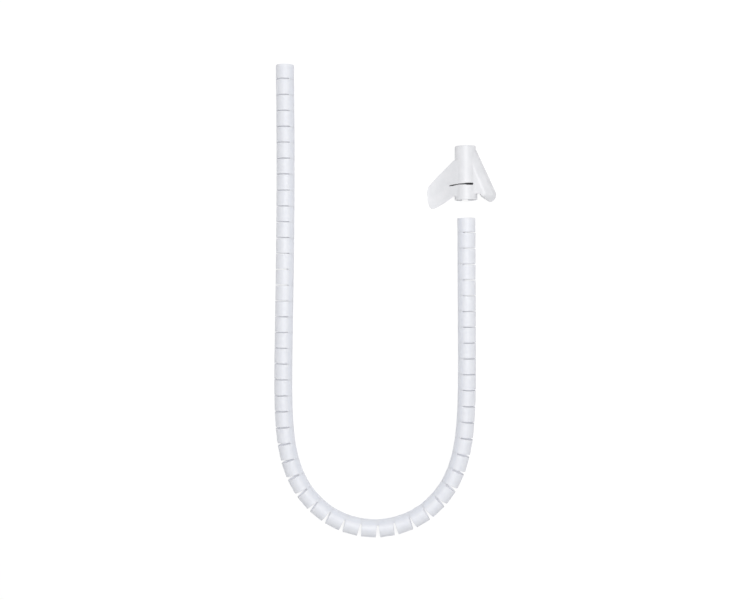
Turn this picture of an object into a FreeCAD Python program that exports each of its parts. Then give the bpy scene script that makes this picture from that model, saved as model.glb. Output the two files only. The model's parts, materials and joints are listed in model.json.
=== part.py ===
import FreeCAD, Part
import math
import os

# Slotted cable tidy tube with its loading tool, lying on a table. Millimetres, +Z up.
# The tube is one thin-walled plastic tube, slit lengthwise and sawn across at an even pitch. Each cut
# leaves an uncut strip, the spine, which bends as a living hinge. The tube lies in a U with its spine on
# the inside, so that the cuts fan open round the bow. Here every ring between two cuts is its own solid,
# and the spine's ends stand a hair apart at each hinge.
# The origin is the bottom centre of the whole object's box. +X runs from the long leg to the short leg,
# and +Y from the bow to the free ends.

# Tube section
TUBE_OUTER_DIAMETER = 21.0
TUBE_WALL = 1.3
LENGTHWISE_SLIT = 0.8
SPINE_TOP_ANGLE = 57.0      # degrees of arc that stay uncut above the hinge line
SPINE_BOTTOM_ANGLE = 80.0   # degrees of arc that stay uncut below it

# Rings, counted from the long leg's free end
RING_COUNT = 54
RING_PITCH = 18.45
END_RING_LENGTH = 16.9
CUT_WIDTH = 1.0
HINGE_GAP = 0.35

# How far each cut stands open at rest, in degrees: a flat-topped rise over the bow, a slight curl of the
# legs, a little unevenness from handling, and a lean of the two end rings towards each other
FIRST_RING_TURN = 0.0
BOW_OPENING = 11.9
BOW_CENTRE_CUT = 31.8
BOW_HALF_WIDTH_CUTS = 7.47
BOW_SHOULDER_POWER = 5.9
LEG_CURL = -0.15
LEG_CURL_GAIN = 0.0007
UNEVEN_OPENING = 0.2
UNEVEN_SHARE_OF_BOW = 0.04
UNEVEN_STEP = 2.4           # radians of the unevenness per cut
END_RING_LEAN = 0.7

# Loading tool: an open-bottomed sleeve that slides along the tube, with a hollow rounded horn that leans
# away on its right and a flat finger wing on its left. Its own places are given from the sleeve's mouth.
TOOL_GAP = 21.0             # free distance between the tube's end and the tool
TOOL_LENGTH = 63.0
TOOL_MOUTH_RADIUS = 13.3
TOOL_NECK_RADIUS = 12.2
TOOL_BORE_RADIUS = 11.0
HORN_ROOT_RADIUS = 12.4
HORN_ROOT_RIGHT = -2.2
HORN_TIP_RADIUS = 8.7
HORN_TIP_RIGHT = 27.4
HORN_TIP_ALONG = 6.0
HORN_TIP_HEIGHT = 9.4
HORN_RIM_HEIGHT = 6.5       # the horn's flat underside
WEB_HEIGHT = 18.0           # the plate that bridges the valley between sleeve and horn
WEB_THICKNESS = 2.5
WING_THICKNESS = 3.0
TOOL_SLOT_MIDDLE = 18.2
TOOL_SLOT_WIDTH = 2.4
TOOL_SLOT_RIGHT = 8.0
TOOL_SLOT_KINK = 14.3       # where the slot has left the sleeve and tapers into the wing
TOOL_SLOT_KINK_WIDTH = 1.5
TOOL_SLOT_POINT = 27.0
TOOL_SLOT_POINT_DROP = 2.0  # the slot's point lies this much nearer to the mouth
TOOL_SLOT_DEPTH_BELOW_AXIS = 2.0

# Cutting shapes reach this far, past everything
FAR = 100.0

TUBE_RADIUS = TUBE_OUTER_DIAMETER / 2
BORE_RADIUS = TUBE_RADIUS - TUBE_WALL
UP = FreeCAD.Vector(0, 0, 1)


def bow_share(cut):
    """1 in the middle of the bow, falling to 0 along the legs."""
    reach = abs(cut - BOW_CENTRE_CUT) / BOW_HALF_WIDTH_CUTS
    return 1 / (1 + reach ** BOW_SHOULDER_POWER)


def opening(cut):
    """How many degrees one cut stands open at rest. 0 is a straight tube."""
    bow = BOW_OPENING * bow_share(cut)
    curl = LEG_CURL + LEG_CURL_GAIN * cut
    uneven = (UNEVEN_OPENING + UNEVEN_SHARE_OF_BOW * bow) * math.sin(UNEVEN_STEP * cut)
    lean = END_RING_LEAN if cut in (1, RING_COUNT - 1) else 0
    return bow + curl + uneven + lean


def ring_length(ring):
    return END_RING_LENGTH if ring in (1, RING_COUNT) else RING_PITCH


def laid_out():
    """For each ring, the placement of its start on the hinge line: X along the tube, Y towards the spine."""
    heading = -90 + FIRST_RING_TURN
    start = FreeCAD.Vector(0, 0, 0)
    places = []
    for ring in range(1, RING_COUNT + 1):
        turn = FreeCAD.Rotation(UP, heading)
        places.append(FreeCAD.Placement(start, turn))
        start = start + turn.multVec(FreeCAD.Vector(ring_length(ring), 0, 0))
        if ring < RING_COUNT:
            heading += opening(ring)
    return places


def on_circle(radius, degrees, along):
    """A point on the tube's section, with degrees counted from the spine's middle line upwards."""
    angle = math.radians(degrees)
    return FreeCAD.Vector(along, radius * math.cos(angle) - TUBE_RADIUS, radius * math.sin(angle) + TUBE_RADIUS)


def wall_sector(low, high, start, end):
    """A stretch of the tube's wall between two angles of its section and two places along it."""
    middle = (low + high) / 2
    outer = Part.Arc(*[on_circle(TUBE_RADIUS, a, start) for a in (low, middle, high)]).toShape()
    inner = Part.Arc(*[on_circle(BORE_RADIUS, a, start) for a in (high, middle, low)]).toShape()
    lips = [
        Part.makeLine(on_circle(TUBE_RADIUS, high, start), on_circle(BORE_RADIUS, high, start)),
        Part.makeLine(on_circle(BORE_RADIUS, low, start), on_circle(TUBE_RADIUS, low, start)),
    ]
    section = Part.Face(Part.Wire([outer, lips[0], inner, lips[1]]))
    return section.extrude(FreeCAD.Vector(end - start, 0, 0))


def ring_solid(ring):
    """One ring in its own frame: a C of tube wall, with the spine reaching on to the hinge at each cut."""
    length = ring_length(ring)
    before, after = ring > 1, ring < RING_COUNT
    lip = 180 - math.degrees(math.asin(LENGTHWISE_SLIT / TUBE_OUTER_DIAMETER))
    shell = wall_sector(-lip, lip, before * CUT_WIDTH / 2, length - after * CUT_WIDTH / 2)
    spine = wall_sector(
        -SPINE_BOTTOM_ANGLE, SPINE_TOP_ANGLE, before * HINGE_GAP / 2, length - after * HINGE_GAP / 2
    )
    return shell.fuse(spine).removeSplitter().Solids[0]


def upright_prism(outline, low, high):
    """A plan outline of (along the tube, to the right of it) points, extruded from low to high."""
    points = [FreeCAD.Vector(along, -TUBE_RADIUS - right, low) for along, right in outline]
    return Part.Face(Part.makePolygon(points + points[:1])).extrude(UP * (high - low))


def tool_point(along, right, height):
    return FreeCAD.Vector(along, -TUBE_RADIUS - right, height)


def sloped_sheet(profile):
    """A sheet of the wing's thickness whose upper side follows (to the right, height) points."""
    upper = [tool_point(-FAR, right, height) for right, height in profile]
    lower = [point - UP * WING_THICKNESS for point in reversed(upper)]
    return Part.Face(Part.makePolygon(upper + lower + upper[:1])).extrude(FreeCAD.Vector(2 * FAR, 0, 0))


def horn():
    """The solid horn and its web, trimmed to the plan that is seen from above."""
    tip = tool_point(HORN_TIP_ALONG, HORN_TIP_RIGHT, HORN_TIP_HEIGHT)
    root = tool_point(TOOL_LENGTH, HORN_ROOT_RIGHT, TUBE_RADIUS)
    run = root - tip
    cone = Part.makeCone(HORN_TIP_RADIUS, HORN_ROOT_RADIUS, run.Length, tip, run)
    ball = Part.makeSphere(HORN_TIP_RADIUS, tip)
    web_plan = [(0, 0), (0, 20), (30, 20), (30, 0)]
    web = upright_prism(web_plan, WEB_HEIGHT - WEB_THICKNESS, WEB_HEIGHT)
    plan = [(TOOL_LENGTH, 0), (TOOL_LENGTH, 20), (10, 45), (-10, 45), (-10, 34)]
    plan += [(-2.7, 28.5), (4.7, 17.2), (6.7, 16.4), (6.7, 0)]
    return cone.fuse([ball, web]).common(upright_prism(plan, HORN_RIM_HEIGHT, FAR))


def left_wing():
    plan = [(46, -8), (46, -14.4), (17.4, -43.6), (10.9, -45.2), (-0.8, -44.5)]
    plan += [(-8.8, -42.2), (-10, -38.5), (-7, -31), (-2, -23), (4, -14.4), (4, -8)]
    sheet = sloped_sheet([(-6, 21.0), (-12.5, 16.6), (-20, 11.3), (-28, 6.2), (-36, 3.0), (-46, 2.2)])
    return upright_prism(plan, 0, FAR).common(sheet)


def cross_slot():
    plan = [
        (TOOL_SLOT_MIDDLE - TOOL_SLOT_WIDTH / 2, TOOL_SLOT_RIGHT),
        (TOOL_SLOT_MIDDLE + TOOL_SLOT_WIDTH / 2, TOOL_SLOT_RIGHT),
        (TOOL_SLOT_MIDDLE + TOOL_SLOT_KINK_WIDTH / 2, -TOOL_SLOT_KINK),
        (TOOL_SLOT_MIDDLE - TOOL_SLOT_POINT_DROP, -TOOL_SLOT_POINT),
        (TOOL_SLOT_MIDDLE - TOOL_SLOT_KINK_WIDTH / 2, -TOOL_SLOT_KINK),
    ]
    return upright_prism(plan, TUBE_RADIUS - TOOL_SLOT_DEPTH_BELOW_AXIS, FAR)


def loading_tool():
    """The tool in the end ring's frame, with its mouth at X = 0."""
    mouth = tool_point(0, 0, TUBE_RADIUS)
    along = FreeCAD.Vector(1, 0, 0)
    sleeve = Part.makeCone(TOOL_MOUTH_RADIUS, TOOL_NECK_RADIUS, TOOL_LENGTH, mouth, along)
    bore = Part.makeCylinder(TOOL_BORE_RADIUS, TOOL_LENGTH, mouth, along)
    below = Part.makeBox(2 * FAR, 2 * FAR, FAR, FreeCAD.Vector(-FAR, -FAR, -FAR))
    body = sleeve.fuse([horn(), left_wing()]).cut([bore, below, cross_slot()])
    return body.removeSplitter().Solids[0]


def whole_object():
    """Every node's solid by name, and where each ring starts on the hinge line.

    All stand on Z = 0 about the middle of the whole object's box.
    """
    places = laid_out()
    nodes = {}
    for ring, place in enumerate(places, start=1):
        solid = ring_solid(ring)
        solid.Placement = place
        nodes[f"ring_{ring:02d}"] = solid
    tool = loading_tool()
    shift = FreeCAD.Placement(FreeCAD.Vector(END_RING_LENGTH + TOOL_GAP, 0, 0), FreeCAD.Rotation())
    tool.Placement = places[-1].multiply(shift)
    nodes["loading_tool"] = tool
    box = FreeCAD.BoundBox()
    for solid in nodes.values():
        box.add(solid.optimalBoundingBox())
    centre = FreeCAD.Vector(-box.Center.x, -box.Center.y, -box.ZMin)
    for solid in nodes.values():
        solid.translate(centre)
    return nodes, [place.Base + centre for place in places]


if __name__ == "__main__":
    os.makedirs("parts", exist_ok=True)
    solids, _ = whole_object()
    for name, solid in solids.items():
        solid.exportStep(f"parts/{name}.step")
    print(len(solids), "nodes,", round(sum(ring_length(r) for r in range(1, RING_COUNT + 1))), "mm of tube")
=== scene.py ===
import json
import math
import random

import bmesh
import bpy
from mathutils import Matrix, Vector
from mathutils.bvhtree import BVHTree


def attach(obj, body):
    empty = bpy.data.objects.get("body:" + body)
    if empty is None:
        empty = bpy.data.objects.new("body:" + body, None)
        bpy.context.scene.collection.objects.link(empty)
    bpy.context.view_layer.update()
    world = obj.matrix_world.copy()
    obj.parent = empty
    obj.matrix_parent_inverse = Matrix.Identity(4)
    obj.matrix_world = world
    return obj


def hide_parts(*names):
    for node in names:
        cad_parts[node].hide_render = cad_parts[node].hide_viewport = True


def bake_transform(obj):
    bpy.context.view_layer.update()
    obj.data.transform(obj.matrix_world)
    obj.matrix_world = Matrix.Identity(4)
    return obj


# A slotted cable tidy tube and its loading tool, seen from straight above on a pale studio floor.
# Everything is in metres. The places of the rings and of the tool come from the frame's joints and mounts.

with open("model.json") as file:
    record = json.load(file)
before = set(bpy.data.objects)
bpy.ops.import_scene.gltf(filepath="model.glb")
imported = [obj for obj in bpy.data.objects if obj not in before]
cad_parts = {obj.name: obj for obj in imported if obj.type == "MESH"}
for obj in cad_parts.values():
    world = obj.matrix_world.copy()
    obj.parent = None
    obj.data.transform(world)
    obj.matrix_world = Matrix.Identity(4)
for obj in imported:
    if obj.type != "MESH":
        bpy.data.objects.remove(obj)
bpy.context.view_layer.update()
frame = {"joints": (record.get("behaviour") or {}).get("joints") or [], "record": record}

MM = 0.001
UP = Vector((0, 0, 1))

MOUNTS = {mount["name"]: mount for mount in frame["record"]["mounts"]}
HINGES = {
    int(joint["name"].rsplit("_", 1)[1]): Vector(joint["pos_m"])
    for joint in frame["joints"]
    if joint["type"] == "hinge"
}
RING_COUNT = len(HINGES) + 1
TUBE_RADIUS = HINGES[1].z
BORE_RADIUS = MOUNTS["long_leg_mouth"]["dims"]["r_mm"] * MM

# Tube
CUT_WIDTH = 1.0 * MM
HINGE_GAP = 0.35 * MM           # between two rings' solids, at the hinge line
SLIT_WIDTH = 0.8 * MM
SPINE_TOP = math.radians(57)    # the spine's edges, as angles round the wall from its innermost line
SPINE_BOTTOM = math.radians(-80)
SPINE_UNEVEN = math.radians(2.5)
CUT_UNEVEN = math.radians(0.8)
CUT_SEED = 54
SPINE_BOW_SHARE = 0.6           # how much of the tube's curve the spine's side of a ring takes up
SPINE_BOW_SPREAD = 1.5
# the width of the soft edge of the painted shade on the spine's side
SPINE_PAINTED_SHADE_TONE_EDGE = 0.4 * MM
ANGLE_STEP = math.radians(4)
BODY_STATIONS = (0, 0.025, 0.15, 0.325, 0.5, 0.675, 0.85, 0.975, 1)
WEB_STATIONS = (0.25, 0.5, 0.75, 1)
EDGE_ROUND = 0.13 * MM
ROUNDED_FROM = math.radians(45)
CREASED_FROM = math.radians(50)
WALL_DEPTH_TAG = 1.0            # the cut faces' wall places start here, clear of the outer wall's
OUTER, SAWN, INNER = 0, 1, 2    # a ring's materials

# Tool, in millimetres from its mouth: along, to the right, and up from the sleeve's middle line
TOOL_LENGTH = 63.0
TOOL_MOUTH_RADIUS = 13.3
TOOL_NECK_RADIUS = 12.2
HORN_CREST = ((63, -3, 5, 7.4), (7, 21.5, 2.6, 5))
HORN_SHOULDER = ((63, 1, 2, 8), (6.5, 28.5, 0.2, 4.5))
HORN_FOOT = ((63, -2.2, 12.4), (6, 27.4, 8.7))
HORN_FOOT_ROUND = 3.0
HORN_FOOT_BALLS = 24
HORN_RIM = -4.0
HORN_PLAN = (
    (TOOL_LENGTH, 0), (TOOL_LENGTH, 20), (10, 45), (-10, 45), (-10, 34),
    (-2.7, 28.5), (4.7, 17.2), (6.7, 16.4), (6.7, 0),
)
WEB_DROP = 0.5
WEB_THICKNESS = 3.0
WEB_NECK_RIGHT = -1
WEB_PAST_CREST = 4
WING_PLAN = (
    (46, -4), (46, -14.4), (30, -31.5), (17.4, -43.6), (10.9, -45.2), (-0.4, -44.5), (-7.2, -42.4),
    (-9, -39.5), (-8.4, -36), (-6, -31), (-1.4, -23), (4.6, -14.4), (4.6, -4),
)
WING_PROFILE = (
    (-3, 11.9), (-8, 9.4), (-12, 6.8), (-16, 3.8), (-22, -0.4),
    (-28, -4.1), (-34, -6.9), (-39, -8.6), (-43, -9.7), (-48, -10.3),
)
WING_THICKNESS = 3.0
SLOT_PLAN = (
    (17, 7.2), (17.6, 7.9), (18.8, 7.9), (19.3, 7.2), (19.2, 2), (18.8, -4), (18.6, -10), (18.1, -15),
    (17.5, -20), (17.0, -25), (16.7, -29), (16.6, -25), (16.6, -20), (16.8, -15), (17.7, -10),
    (17.5, -4), (17.1, 2),
)
SLOT_LOW = -2
SLOT_ALONG = (15.5, 20.5)       # the slot's reach, with a little to spare
SLOT_LEFT = (-9.5, 29)
GROOVE_DEPTH = 1.4
GROOVE_PAINTED_SHADE = (0.5, GROOVE_DEPTH + 0.5)    # depths under the skin whose faces get the slot's painted shade
TOOL_LOW, TOOL_HIGH = -20, 40   # clear of the tool below and above
SHEET_START, SHEET_RUN = -30, 120
BORE_PAST_ENDS = 20
TABLE_BLOCK = ((-90, -90), (190, -90), (190, 90), (-90, 90))
TABLE_BLOCK_DEPTH = 50
TOOL_VOXEL = 0.42
SOFTENING_FACTOR = 0.5
SOFTENING_ROUNDS = 12
THINNING_RATIO = 0.4

# Plastics: a dark and a light tone of each
TUBE_TONES = ((0.75, 0.76, 0.80), (0.80, 0.81, 0.84))
# painted shade: a darker tone for the spine and the wall below it
SPINE_PAINTED_SHADE_TONE = (0.75, 0.765, 0.81, 1)
SAWN_TONES = ((0.72, 0.73, 0.77), (0.82, 0.825, 0.85))
TOOL_TONES = ((0.76, 0.765, 0.785), (0.805, 0.805, 0.825))
# painted shade: a nearly black colour for the slot's inside faces, standing in for shadow
SLOT_PAINTED_SHADE_TONES = ((0.012, 0.012, 0.014), (0.03, 0.03, 0.033))
DIE_LINES = (2600, 14, 1)       # how finely a pattern repeats round the wall and along it, in a metre
BROAD_BANDS = (420, 9, 1)
SAW_SCRATCHES = (3200, 700, 1)
SOAK_DEPTH = 1.5 * MM
PLASTIC_IOR = 1.5
# painted light: the tube's inner wall emits a little light, though it is no lamp, to brighten its shade
INNER_PAINTED_LIGHT = 0.11
INNER_PAINTED_LIGHT_TONE = (0.95, 0.96, 1.0, 1)

# Studio
FLOOR_REACH = 4
FLOOR_TONE = (0.3, 0.3, 0.3, 1)
FLOOR_GLOW = 0.74
LAMP_PLACE = (0.1, 0.15, 1.9)
LAMP_SIZE = 1.1
LAMP_POWER = 31
SKY_TONE = (0.97, 0.98, 1.0, 1)
SKY_STRENGTH = 0.27
CAMERA_HEIGHT = 1.16
CAMERA_AIM = (-0.0122, 0.0028, 0)
CAMERA_BACK = 0.025
CAMERA_NEAREST = 0.01
LENS = 46.96
SENSOR_WIDTH = 36


def ring_places():
    """The start, heading and length of each ring along the hinge line, by ring number."""
    places = {}
    for ring in range(2, RING_COUNT):
        run = HINGES[ring] - HINGES[ring - 1]
        places[ring] = (HINGES[ring - 1], run.normalized(), run.length)
    end_length = MOUNTS["long_leg_mouth"]["dims"]["length_mm"] * MM + HINGE_GAP / 2
    first_heading = -Vector(MOUNTS["long_leg_mouth"]["axis"])
    last_heading = Vector(MOUNTS["short_leg_mouth"]["axis"])
    places[1] = (HINGES[1] - first_heading * end_length, first_heading, end_length)
    places[RING_COUNT] = (HINGES[RING_COUNT - 1], last_heading, end_length)
    return places


def tube_frame(start, heading):
    """X along the tube, Y towards the spine and Z up, from a point of the hinge line."""
    side = UP.cross(heading)
    matrix = Matrix((heading, side, UP)).transposed().to_4x4()
    matrix.translation = start
    return matrix


def uneven_cuts():
    """Small differences between the saw cuts: how deep each goes and how it leans, by cut number."""
    chance = random.Random(CUT_SEED)
    cuts = {}
    for cut in HINGES:
        cuts[cut] = {
            "top": SPINE_TOP + chance.uniform(-1, 1) * SPINE_UNEVEN,
            "bottom": SPINE_BOTTOM + chance.uniform(-1, 1) * SPINE_UNEVEN,
            "yaw": math.tan(chance.uniform(-1, 1) * CUT_UNEVEN),
            "lean": math.tan(chance.uniform(-1, 1) * CUT_UNEVEN),
        }
    return cuts


PLACES = ring_places()
CUTS = uneven_cuts()


def turn_at(cut):
    """How far the tube turns at one cut, in radians, and 0 past its ends."""
    if cut not in HINGES:
        return 0.0
    return PLACES[cut][1].angle(PLACES[cut + 1][1])


def cut_shift(cut, y, z):
    """How far a cut's face stands off its middle plane, because the saw leaned a little."""
    if cut not in CUTS:
        return 0.0
    return CUTS[cut]["yaw"] * y + CUTS[cut]["lean"] * z


def section_point(angle, radius):
    """Y and Z of a point of the wall, at an angle from the spine's innermost line."""
    return radius * math.cos(angle) - TUBE_RADIUS, radius * math.sin(angle)


def body_point(ring, angle, radius, share):
    """A point on one ring's wall: share runs from 0 at its first face to 1 at its last."""
    start, heading, length = PLACES[ring]
    y, z = section_point(angle, radius)
    first = (CUT_WIDTH / 2 if ring > 1 else 0) + cut_shift(ring - 1, y, z)
    last = length - (CUT_WIDTH / 2 if ring < RING_COUNT else 0) + cut_shift(ring, y, z)
    along = first + (last - first) * share
    turn = (turn_at(ring - 1) + turn_at(ring)) / 2
    bowed = SPINE_BOW_SHARE * length * turn / 8 * (1 - (2 * share - 1) ** 2)
    y -= bowed * max(0.0, (1 + math.cos(angle)) / 2) ** SPINE_BOW_SPREAD
    return tube_frame(start, heading) @ Vector((along, y, z))


def web_point(ring, angle, radius, share):
    """A point on the strip of spine from one ring's last face to the next ring's first face."""
    a = body_point(ring, angle, radius, 1)
    d = body_point(ring + 1, angle, radius, 0)
    handle = (d - a).length / 3
    b = a + PLACES[ring][1] * handle
    c = d - PLACES[ring + 1][1] * handle
    rest = 1 - share
    return a * rest**3 + b * 3 * rest**2 * share + c * 3 * rest * share**2 + d * share**3


def section_angles(ring):
    """The angles round the wall, from lip to lip, with this ring's spine edges among them."""
    lip = math.pi - math.asin(SLIT_WIDTH / 2 / TUBE_RADIUS)
    marks = [-lip, lip]
    if ring in CUTS:
        marks = [-lip, CUTS[ring]["bottom"], CUTS[ring]["top"], lip]
    angles = [marks[0]]
    for low, high in zip(marks, marks[1:]):
        steps = max(2, round((high - low) / ANGLE_STEP))
        angles += [low + (high - low) * n / steps for n in range(1, steps)] + [high]
    return angles


def round_edges(mesh, flush):
    """Round every sharp edge but those at the flush corners, where the strip runs on to the next ring."""
    mesh.normal_update()
    sharp = [
        edge
        for edge in mesh.edges
        if edge.calc_face_angle(0) > ROUNDED_FROM and not flush.intersection(edge.verts)
    ]
    bmesh.ops.bevel(
        mesh, geom=sharp, offset=EDGE_ROUND, segments=2, profile=0.5, affect="EDGES", clamp_overlap=True
    )


def ring_mesh(ring):
    """One ring's closed wall with its strip of spine to the next ring."""
    angles = section_angles(ring)
    columns = len(angles)
    body_rows = len(BODY_STATIONS)
    rows = body_rows + (len(WEB_STATIONS) if ring in CUTS else 0)
    if ring in CUTS:
        web = range(angles.index(CUTS[ring]["bottom"]), angles.index(CUTS[ring]["top"]) + 1)
    else:
        web = range(0)
    length = PLACES[ring][2]
    mesh = bmesh.new()
    uv_layer = mesh.loops.layers.uv.new("wall")
    vertices, places = {}, {}
    for layer, radius in enumerate((TUBE_RADIUS, BORE_RADIUS)):
        for row in range(rows):
            for column in range(columns) if row < body_rows else web:
                if row < body_rows:
                    point = body_point(ring, angles[column], radius, BODY_STATIONS[row])
                    along = length * BODY_STATIONS[row]
                else:
                    share = WEB_STATIONS[row - body_rows]
                    point = web_point(ring, angles[column], radius, share)
                    along = length + CUT_WIDTH * share
                vertices[layer, row, column] = mesh.verts.new(point)
                places[layer, row, column] = (angles[column] * TUBE_RADIUS, along)

    def corners(row, column):
        return [(row, column), (row, column + 1), (row + 1, column + 1), (row + 1, column)]

    def cell(row, column):
        return all((0, r, c) in vertices for r, c in corners(row, column))

    def add(keys, material, uvs=None):
        face = mesh.faces.new([vertices[key] for key in keys])
        face.material_index = material
        face.smooth = True
        for loop, key, uv in zip(face.loops, keys, uvs or [places[key] for key in keys]):
            loop[uv_layer].uv = uv

    deepest = WALL_DEPTH_TAG + TUBE_RADIUS - BORE_RADIUS
    for row in range(rows - 1):
        for column in range(columns - 1):
            if not cell(row, column):
                continue
            around = corners(row, column)
            add([(0, r, c) for r, c in around], OUTER)
            add([(1, r, c) for r, c in reversed(around)], INNER)
            neighbours = [(row - 1, column), (row, column + 1), (row + 1, column), (row, column - 1)]
            for n, beside in enumerate(neighbours):
                if 0 <= beside[0] < rows - 1 and 0 <= beside[1] < columns - 1 and cell(*beside):
                    continue
                p, q = around[n], around[(n + 1) % 4]
                keys = [(0, *q), (0, *p), (1, *p), (1, *q)]
                run_p, run_q = places[0, *p][n % 2], places[0, *q][n % 2]
                uvs = [(run_q, WALL_DEPTH_TAG), (run_p, WALL_DEPTH_TAG), (run_p, deepest), (run_q, deepest)]
                add(keys, SAWN, uvs)
    flush = set()
    if ring > 1:
        low, high = CUTS[ring - 1]["bottom"], CUTS[ring - 1]["top"]
        flush |= {vertices[n, 0, c] for n in (0, 1) for c in range(columns) if low <= angles[c] <= high}
    if ring in CUTS:
        flush |= {vertices[n, rows - 1, c] for n in (0, 1) for c in web}
    round_edges(mesh, flush)
    data = bpy.data.meshes.new(f"tube_ring_{ring:02d}")
    mesh.to_mesh(data)
    mesh.free()
    data.set_sharp_from_angle(angle=CREASED_FROM)
    return data


def add_ring(ring, materials):
    """One ring in place of its solid, with its strip to the next ring; the last ring has no strip."""
    piece = bpy.data.objects.new(f"tube_ring_{ring:02d}", ring_mesh(ring))
    bpy.context.collection.objects.link(piece)
    for material in materials:
        piece.data.materials.append(material)
    shading = piece.modifiers.new("even_shading", "WEIGHTED_NORMAL")
    shading.keep_sharp = True
    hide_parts(f"ring_{ring:02d}")
    if ring in CUTS:
        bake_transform(piece)
    else:
        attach(piece, f"ring_{ring:02d}")


# ---- the loading tool


def tool_frame():
    """X from the tool's mouth to its neck, Y to the left and Z up, in millimetres, on its middle line."""
    mount = MOUNTS["tool_sleeve"]
    axis = Vector(mount["axis"])
    neck = Vector(mount["pos_m"]) + axis * mount["dims"]["length_mm"] * MM / 2
    return tube_frame(neck - axis * TOOL_LENGTH * MM, axis) @ Matrix.Scale(MM, 4)


def tool_point(along, right, up):
    """A point of the tool in its own frame, in millimetres."""
    return Vector((along, -right, up))


def object_from(mesh, name):
    """A new object from a mesh, with its faces turned outwards."""
    data = bpy.data.meshes.new(name)
    bmesh.ops.recalc_face_normals(mesh, faces=mesh.faces)
    mesh.to_mesh(data)
    mesh.free()
    made = bpy.data.objects.new(name, data)
    bpy.context.collection.objects.link(made)
    return made


def round_bar(name, start, end, stations, sides=96):
    """A closed solid turned about the line from start to end, through (distance, radius) stations."""
    turned = (end - start).to_track_quat("X", "Z").to_matrix()
    mesh = bmesh.new()
    rings = []
    for x, radius in stations:
        turns = [2 * math.pi * n / sides for n in range(sides)]
        circle = [Vector((x, radius * math.cos(a), radius * math.sin(a))) for a in turns]
        rings.append([mesh.verts.new(start + turned @ point) for point in circle])
    for one, other in zip(rings, rings[1:]):
        for n in range(sides):
            mesh.faces.new((one[n], one[(n + 1) % sides], other[(n + 1) % sides], other[n]))
    mesh.faces.new(rings[0])
    mesh.faces.new(rings[-1])
    return object_from(mesh, name)


def prism(name, outline, push):
    """A closed prism from a loop of points, swept by the vector push."""
    mesh = bmesh.new()
    face = mesh.faces.new([mesh.verts.new(point) for point in outline])
    grown = bmesh.ops.extrude_face_region(mesh, geom=[face])
    moved = [item for item in grown["geom"] if isinstance(item, bmesh.types.BMVert)]
    bmesh.ops.translate(mesh, verts=moved, vec=push)
    return object_from(mesh, name)


def upright_prism(name, plan, low, high):
    """A plan outline of (along, to the right) points, standing from low to high."""
    return prism(name, [tool_point(a, b, low) for a, b in plan], UP * (high - low))


def spline_value(a, b, c, d, t):
    """A Catmull-Rom spline's value between b and c, at t from 0 to 1."""
    return 0.5 * (2 * b + (c - a) * t + (2 * a - 5 * b + 4 * c - d) * t**2 + (3 * b - a - 3 * c + d) * t**3)


def spline_points(points, steps=8):
    """A smooth line through a few (a, b) points."""
    ends = [points[0], *points, points[-1]]
    line = []
    for n in range(1, len(ends) - 2):
        p, q, r, s = ends[n - 1 : n + 3]
        for step in range(steps):
            line.append(tuple(spline_value(*values, step / steps) for values in zip(p, q, r, s)))
    return [*line, points[-1]]


def apply_modifiers(thing):
    """Turn the result of an object's modifiers into its mesh."""
    depsgraph = bpy.context.evaluated_depsgraph_get()
    data = bpy.data.meshes.new_from_object(thing.evaluated_get(depsgraph))
    thing.modifiers.clear()
    thing.data = data


def combine(base, other, how):
    """Join, cut or trim one solid with another, which is used up."""
    cutter = base.modifiers.new(how, "BOOLEAN")
    cutter.operation = how
    cutter.solver = "EXACT"
    cutter.object = other
    apply_modifiers(base)
    bpy.data.objects.remove(other)


def hull_of_balls(name, balls, rounds=12):
    """The skin stretched over balls, each given as (along, to the right, up, radius)."""
    mesh = bmesh.new()
    for along, right, up, radius in balls:
        for tilt in (math.pi * n / rounds for n in range(rounds + 1)):
            for turn in (math.pi * n / rounds for n in range(2 * rounds)):
                flat = radius * math.sin(tilt)
                step = Vector((flat * math.cos(turn), flat * math.sin(turn), radius * math.cos(tilt)))
                mesh.verts.new(tool_point(along, right, up) + step)
    hull = bmesh.ops.convex_hull(mesh, input=mesh.verts)
    inside = [item for item in hull["geom_interior"] if isinstance(item, bmesh.types.BMVert)]
    bmesh.ops.delete(mesh, geom=inside, context="VERTS")
    return object_from(mesh, name)


def horn_balls():
    """The balls under the horn's skin: its crest, its shoulder and round its foot."""
    balls = [*HORN_CREST, *HORN_SHOULDER]
    for along, right, radius in HORN_FOOT:
        reach = radius - HORN_FOOT_ROUND
        for turn in (2 * math.pi * n / HORN_FOOT_BALLS for n in range(HORN_FOOT_BALLS)):
            place = (along + reach * math.cos(turn), right + reach * math.sin(turn))
            balls.append((*place, HORN_RIM, HORN_FOOT_ROUND))
    return balls


def valley_web():
    """The plate between the crown of the sleeve and the ridge of the horn, a little below both."""
    along, right, up, radius = HORN_CREST[1]
    neck = tool_point(TOOL_LENGTH, WEB_NECK_RIGHT, TOOL_NECK_RADIUS - WEB_DROP)
    mouth = tool_point(0, 0, TOOL_MOUTH_RADIUS - WEB_DROP)
    ridge = tool_point(along - WEB_PAST_CREST, right, up + radius - WEB_DROP)
    return prism("web", [neck, mouth, ridge], -UP * WEB_THICKNESS)


def right_horn():
    """The horn and its web, trimmed to their plan."""
    horn = hull_of_balls("horn", horn_balls())
    combine(horn, valley_web(), "UNION")
    combine(horn, upright_prism("horn_plan", HORN_PLAN, HORN_RIM, TOOL_HIGH), "INTERSECT")
    return horn


def left_wing():
    """The finger wing: a sheet that falls from the sleeve and levels out at its rim, cut to its plan."""
    upper = [tool_point(SHEET_START, right, up) for right, up in spline_points(WING_PROFILE)]
    lower = [point - UP * WING_THICKNESS for point in reversed(upper)]
    wing = upright_prism("left_wing", WING_PLAN, TOOL_LOW, TOOL_HIGH)
    combine(wing, prism("wing_sheet", upper + lower, Vector((SHEET_RUN, 0, 0))), "INTERSECT")
    return wing


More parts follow.
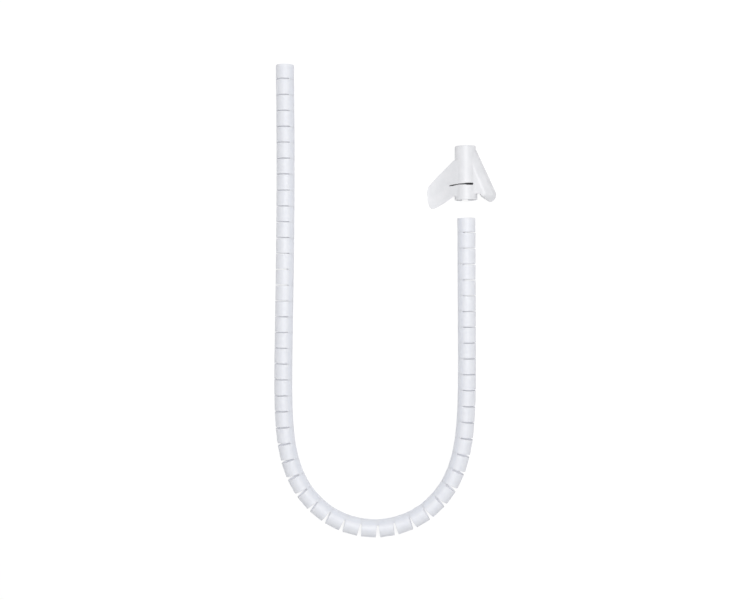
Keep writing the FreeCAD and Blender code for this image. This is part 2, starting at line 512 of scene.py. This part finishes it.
def cross_slot(name, above):
    """The slot across sleeve and wing, down to the given solid, which is used up."""
    slot = upright_prism(name, SLOT_PLAN, SLOT_LOW, TOOL_HIGH)
    combine(slot, above, "DIFFERENCE")
    return slot


def duplicate(thing, shift):
    """A moved copy of a solid."""
    twin = thing.copy()
    twin.data = thing.data.copy()
    twin.data.transform(Matrix.Translation(shift))
    bpy.context.collection.objects.link(twin)
    return twin


def tool_mesh(materials):
    """The whole tool as one moulding with softened edges. Its second material is the nearly black painted
    shade for the faces inside the slot.
    """
    mouth, neck = Vector((0, 0, 0)), Vector((TOOL_LENGTH, 0, 0))
    bore = MOUNTS["tool_sleeve"]["dims"]["r_mm"]
    body = round_bar("tool", mouth, neck, [(0, TOOL_MOUTH_RADIUS), (TOOL_LENGTH, TOOL_NECK_RADIUS)])
    combine(body, right_horn(), "UNION")
    combine(body, left_wing(), "UNION")
    skin = BVHTree.FromObject(body, bpy.context.evaluated_depsgraph_get())
    slot = cross_slot("cross_slot", duplicate(body, -UP * GROOVE_DEPTH))
    bore_ends = [(-BORE_PAST_ENDS, bore), (TOOL_LENGTH + BORE_PAST_ENDS, bore)]
    combine(body, round_bar("bore", mouth, neck, bore_ends), "DIFFERENCE")
    table = -TUBE_RADIUS / MM
    combine(body, upright_prism("below", TABLE_BLOCK, table - TABLE_BLOCK_DEPTH, table), "DIFFERENCE")
    combine(body, slot, "DIFFERENCE")
    remesh = body.modifiers.new("even_mesh", "REMESH")
    remesh.mode = "VOXEL"
    remesh.voxel_size = TOOL_VOXEL
    softening = body.modifiers.new("softening", "SMOOTH")
    softening.factor = SOFTENING_FACTOR
    softening.iterations = SOFTENING_ROUNDS
    thinning = body.modifiers.new("thinning", "DECIMATE")
    thinning.ratio = THINNING_RATIO
    apply_modifiers(body)
    body.data.materials.clear()
    for material in materials:
        body.data.materials.append(material)
    for polygon in body.data.polygons:
        polygon.use_smooth = True
        along, left, up = polygon.center
        near_slot = SLOT_ALONG[0] < along < SLOT_ALONG[1] and SLOT_LEFT[0] < left < SLOT_LEFT[1]
        hit = skin.ray_cast(polygon.center, UP)[0] if near_slot else None
        in_painted_shade = hit is not None and GROOVE_PAINTED_SHADE[0] < hit.z - up < GROOVE_PAINTED_SHADE[1]
        # faces inside the slot get the nearly black painted shade
        polygon.material_index = int(in_painted_shade)
    body.data.transform(tool_frame())
    return body


def add_tool(materials):
    """The tool in place of its solid."""
    piece = tool_mesh(materials)
    piece.name = "loading_tool_shell"
    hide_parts("loading_tool")
    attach(piece, "loading_tool")


# ---- materials


def new_material(name):
    """A new material, its node tree and its shader."""
    material = bpy.data.materials.new(name)
    material.use_nodes = True
    tree = material.node_tree
    return material, tree, tree.nodes["Principled BSDF"]


def node(tree, kind, inputs=(), **settings):
    """A new node, with each input either linked to a socket or set to a value."""
    made = tree.nodes.new(kind)
    for name, value in settings.items():
        setattr(made, name, value)
    for name, value in dict(inputs).items():
        if isinstance(value, bpy.types.NodeSocket):
            tree.links.new(value, made.inputs[name])
        else:
            made.inputs[name].default_value = value
    return made


def wall_place(tree):
    """A place on a ring's wall: round it, then along it."""
    return node(tree, "ShaderNodeUVMap", uv_map="wall").outputs["UV"]


def object_place(tree):
    return node(tree, "ShaderNodeTexCoord").outputs["Object"]


def stretched(tree, place, scale):
    return node(tree, "ShaderNodeMapping", {"Vector": place, "Scale": scale}).outputs["Vector"]


def noise(tree, place, scale, detail, roughness=0.5):
    inputs = {"Vector": place, "Scale": scale, "Detail": detail, "Roughness": roughness}
    return node(tree, "ShaderNodeTexNoise", inputs).outputs["Fac"]


def arithmetic(tree, operation, one, other):
    return node(tree, "ShaderNodeMath", {0: one, 1: other}, operation=operation).outputs["Value"]


def tones(tree, factor, dark, light, start=0.3, end=0.7):
    """A colour between a dark and a light tone, by factor."""
    made = tree.nodes.new("ShaderNodeValToRGB")
    made.color_ramp.elements[0].position = start
    made.color_ramp.elements[0].color = (*dark, 1)
    made.color_ramp.elements[1].position = end
    made.color_ramp.elements[1].color = (*light, 1)
    tree.links.new(factor, made.inputs["Fac"])
    return made.outputs["Color"]


def set_roughness(tree, shader, value, low, high):
    made = node(tree, "ShaderNodeMapRange", {"Value": value, "To Min": low, "To Max": high})
    tree.links.new(made.outputs["Result"], shader.inputs["Roughness"])


def set_bump(tree, shader, height, strength, distance):
    bump = node(tree, "ShaderNodeBump", {"Height": height, "Strength": strength, "Distance": distance})
    tree.links.new(bump.outputs["Normal"], shader.inputs["Normal"])


def set_soak(shader, weight):
    """How much light soaks into the plastic."""
    shader.inputs["Subsurface Weight"].default_value = weight
    shader.inputs["Subsurface Radius"].default_value = (1.0, 1.0, 1.0)
    shader.inputs["Subsurface Scale"].default_value = SOAK_DEPTH
    shader.inputs["IOR"].default_value = PLASTIC_IOR


def tube_plastic():
    """Soft white extruded plastic: satin, with fine die lines along the tube and a faint cloudiness."""
    material, tree, shader = new_material("tube_white_extruded")
    wall = wall_place(tree)
    place = object_place(tree)
    lines = noise(tree, stretched(tree, wall, DIE_LINES), scale=1.0, detail=4.0, roughness=0.6)
    broad = noise(tree, stretched(tree, wall, BROAD_BANDS), scale=1.0, detail=2.0)
    cloud = noise(tree, place, scale=160.0, detail=3.0, roughness=0.55)
    scuff = noise(tree, place, scale=2400.0, detail=2.0)
    mixed = arithmetic(tree, "MULTIPLY", arithmetic(tree, "ADD", cloud, broad), 0.5)
    colour = tones(tree, mixed, *TUBE_TONES)
    # Painted shade: the spine and the wall below it, up to the spine's upper edge, are coloured darker to
    # deepen their shading.
    round_wall = node(tree, "ShaderNodeSeparateXYZ", {"Vector": wall}).outputs["X"]
    spine_edge = SPINE_TOP * TUBE_RADIUS
    edge = {"Value": round_wall, "From Min": spine_edge - SPINE_PAINTED_SHADE_TONE_EDGE, "From Max": spine_edge}
    past_painted_shade_edge = node(tree, "ShaderNodeMapRange", edge).outputs["Result"]
    shaded = node(tree, "ShaderNodeMix", {0: past_painted_shade_edge}, data_type="RGBA")
    shaded.inputs[6].default_value = SPINE_PAINTED_SHADE_TONE
    tree.links.new(colour, shaded.inputs[7])
    tree.links.new(shaded.outputs[2], shader.inputs["Base Color"])
    set_roughness(tree, shader, lines, low=0.42, high=0.6)
    set_soak(shader, weight=0.7)
    set_bump(tree, shader, arithmetic(tree, "ADD", lines, scuff), strength=0.25, distance=0.06 * MM)
    return material


def sawn_plastic(name, painted_light):
    """The tube's sawn faces or inner wall: matt and scratched. Its emission is painted light, which
    brightens the shaded inner wall; the sawn faces get none.
    """
    material, tree, shader = new_material(name)
    at = stretched(tree, wall_place(tree), SAW_SCRATCHES)
    scratches = noise(tree, at, scale=1.0, detail=3.0, roughness=0.7)
    tree.links.new(tones(tree, scratches, *SAWN_TONES), shader.inputs["Base Color"])
    set_roughness(tree, shader, scratches, low=0.55, high=0.8)
    # painted light: emission that brightens the shaded inner wall
    shader.inputs["Emission Color"].default_value = INNER_PAINTED_LIGHT_TONE
    shader.inputs["Emission Strength"].default_value = painted_light
    set_bump(tree, shader, scratches, strength=0.5, distance=0.08 * MM)
    return material


def tool_plastic():
    """Harder, glossier white moulded plastic with a fine mould grain."""
    material, tree, shader = new_material("tool_white_moulded")
    place = object_place(tree)
    cloud = noise(tree, place, scale=90.0, detail=3.0)
    grain = noise(tree, place, scale=3200.0, detail=2.0)
    tree.links.new(tones(tree, cloud, *TOOL_TONES), shader.inputs["Base Color"])
    set_roughness(tree, shader, cloud, low=0.42, high=0.54)
    set_soak(shader, weight=0.15)
    set_bump(tree, shader, grain, strength=0.12, distance=0.05 * MM)
    return material


def slot_painted_shade():
    """Painted shade for the tool's slot: its inside faces get a matt, nearly black colour that stands in
    for the shadow there.
    """
    material, tree, shader = new_material("tool_slot_painted_shade")
    cloud = noise(tree, object_place(tree), scale=900.0, detail=2.0)
    tree.links.new(tones(tree, cloud, *SLOT_PAINTED_SHADE_TONES), shader.inputs["Base Color"])
    set_roughness(tree, shader, cloud, low=0.8, high=0.95)
    set_bump(tree, shader, cloud, strength=0.3, distance=0.05 * MM)
    return material


# ---- studio


def add_floor():
    mesh = bmesh.new()
    bmesh.ops.create_grid(mesh, x_segments=1, y_segments=1, size=FLOOR_REACH)
    floor = object_from(mesh, "studio_floor")
    material, _, shader = new_material("studio_white")
    shader.inputs["Base Color"].default_value = FLOOR_TONE
    shader.inputs["Roughness"].default_value = 0.9
    shader.inputs["Specular IOR Level"].default_value = 0.0
    shader.inputs["Emission Color"].default_value = (1, 1, 1, 1)
    shader.inputs["Emission Strength"].default_value = FLOOR_GLOW
    floor.data.materials.append(material)


def add_area_light(name, place, aim, size, power):
    lamp = bpy.data.lights.new(name, "AREA")
    lamp.shape = "DISK"
    lamp.size = size
    lamp.energy = power
    holder = bpy.data.objects.new(name, lamp)
    holder.location = place
    holder.rotation_euler = (Vector(aim) - Vector(place)).to_track_quat("-Z", "Y").to_euler()
    bpy.context.collection.objects.link(holder)


def add_studio():
    add_floor()
    add_area_light("overhead", LAMP_PLACE, (0, 0, 0), LAMP_SIZE, LAMP_POWER)
    world = bpy.data.worlds.new("studio")
    world.use_nodes = True
    background = world.node_tree.nodes["Background"]
    background.inputs["Color"].default_value = SKY_TONE
    background.inputs["Strength"].default_value = SKY_STRENGTH
    bpy.context.scene.world = world
    bpy.context.scene.view_settings.view_transform = "Standard"


def add_camera():
    """A camera nearly straight above, a little to the back of what it aims at."""
    lens = bpy.data.cameras.new("studio_camera")
    lens.lens = LENS
    lens.sensor_width = SENSOR_WIDTH
    lens.clip_start = CAMERA_NEAREST
    camera = bpy.data.objects.new("studio_camera", lens)
    aim = Vector(CAMERA_AIM)
    place = aim + Vector((0, CAMERA_BACK, CAMERA_HEIGHT))
    back = (place - aim).normalized()
    across = Vector((1, 0, 0))
    view = Matrix((across, back.cross(across), back)).transposed().to_4x4()
    view.translation = place
    camera.matrix_world = view
    bpy.context.collection.objects.link(camera)
    bpy.context.scene.camera = camera


add_camera()
tube_materials = (
    tube_plastic(),
    sawn_plastic("tube_white_sawn", 0.0),
    sawn_plastic("tube_white_inside_painted_light", INNER_PAINTED_LIGHT),
)
for number in range(1, RING_COUNT + 1):
    add_ring(number, tube_materials)
add_tool((tool_plastic(), slot_painted_shade()))
add_studio()
